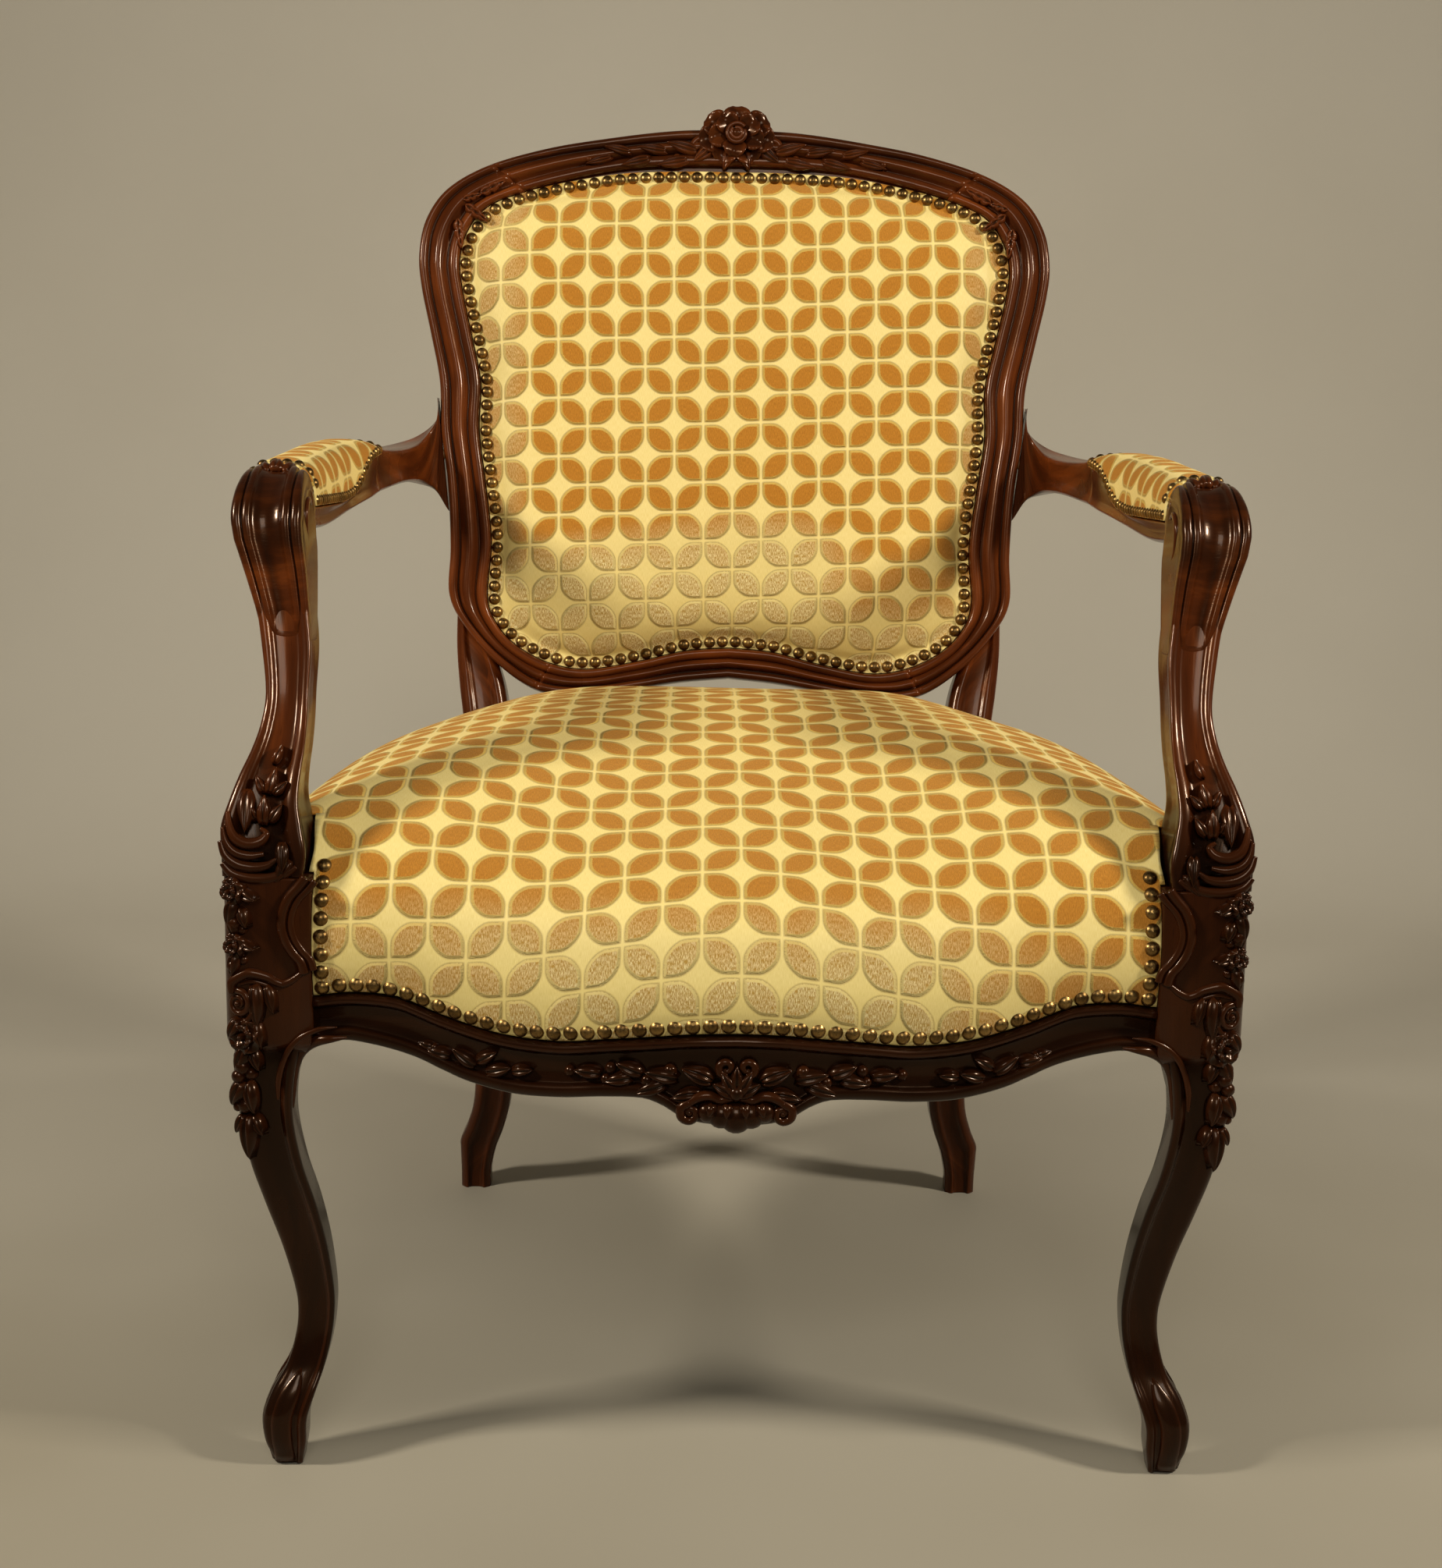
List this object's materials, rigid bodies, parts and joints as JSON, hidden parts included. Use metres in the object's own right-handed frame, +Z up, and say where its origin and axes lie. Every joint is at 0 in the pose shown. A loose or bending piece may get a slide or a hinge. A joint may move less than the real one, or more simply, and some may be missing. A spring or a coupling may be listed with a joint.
{
  "type": "armchair",
  "caption": "Open armchair with a carved and moulded show-wood frame, curved legs, sprung seat, padded back and arm pads edged with domed nails.",
  "frame": {"origin": "floor level, under the middle of the chair's box in plan", "axes": "+Z up, -Y the way the chair faces, +X to the sitter's left, which is the viewer's right from the front"},
  "size_m": [0.6534, 0.6561, 0.9369],
  "materials": {
    "walnut": "polished dark red-brown walnut",
    "cut_velvet": "cut velvet, orange-gold pile petals on a pale yellow satin ground",
    "antique_brass": "darkened antique brass",
    "beech": "plain",
    "webbing": "woven jute",
    "spring_steel": "coppered wire",
    "hessian": "coarse weave",
    "stuffing": "calico over hair",
    "black_cloth": "matt"
  },
  "bodies": {
    "root": {"front_leg_left": "walnut", "front_leg_right": "walnut", "rear_leg_left": "walnut", "rear_leg_right": "walnut", "front_rail": "walnut", "side_rail_left": "walnut", "side_rail_right": "walnut", "rear_rail": "beech", "crest_rail": "walnut", "back_lower_rail": "walnut", "arm_left": "walnut", "arm_right": "walnut", "arm_support_left": "walnut", "arm_support_right": "walnut", "corner_blocks": "beech", "back_dowels": "beech", "arm_dowels": "beech", "seat_webbing": "webbing", "webbing_tacks": "spring_steel", "seat_springs": "spring_steel", "seat_hessian": "hessian", "seat_stuffing": "stuffing", "seat_cover": "cut_velvet", "dust_cover": "black_cloth", "back_webbing": "webbing", "back_stuffing": "stuffing", "back_cover": "cut_velvet", "back_outer_cover": "cut_velvet", "arm_pad_left": "cut_velvet", "arm_pad_right": "cut_velvet", "seat_nails": "antique_brass", "back_nails_front": "antique_brass", "back_nails_rear": "antique_brass", "arm_nails_left": "antique_brass", "arm_nails_right": "antique_brass"}
  },
  "joints": []
}
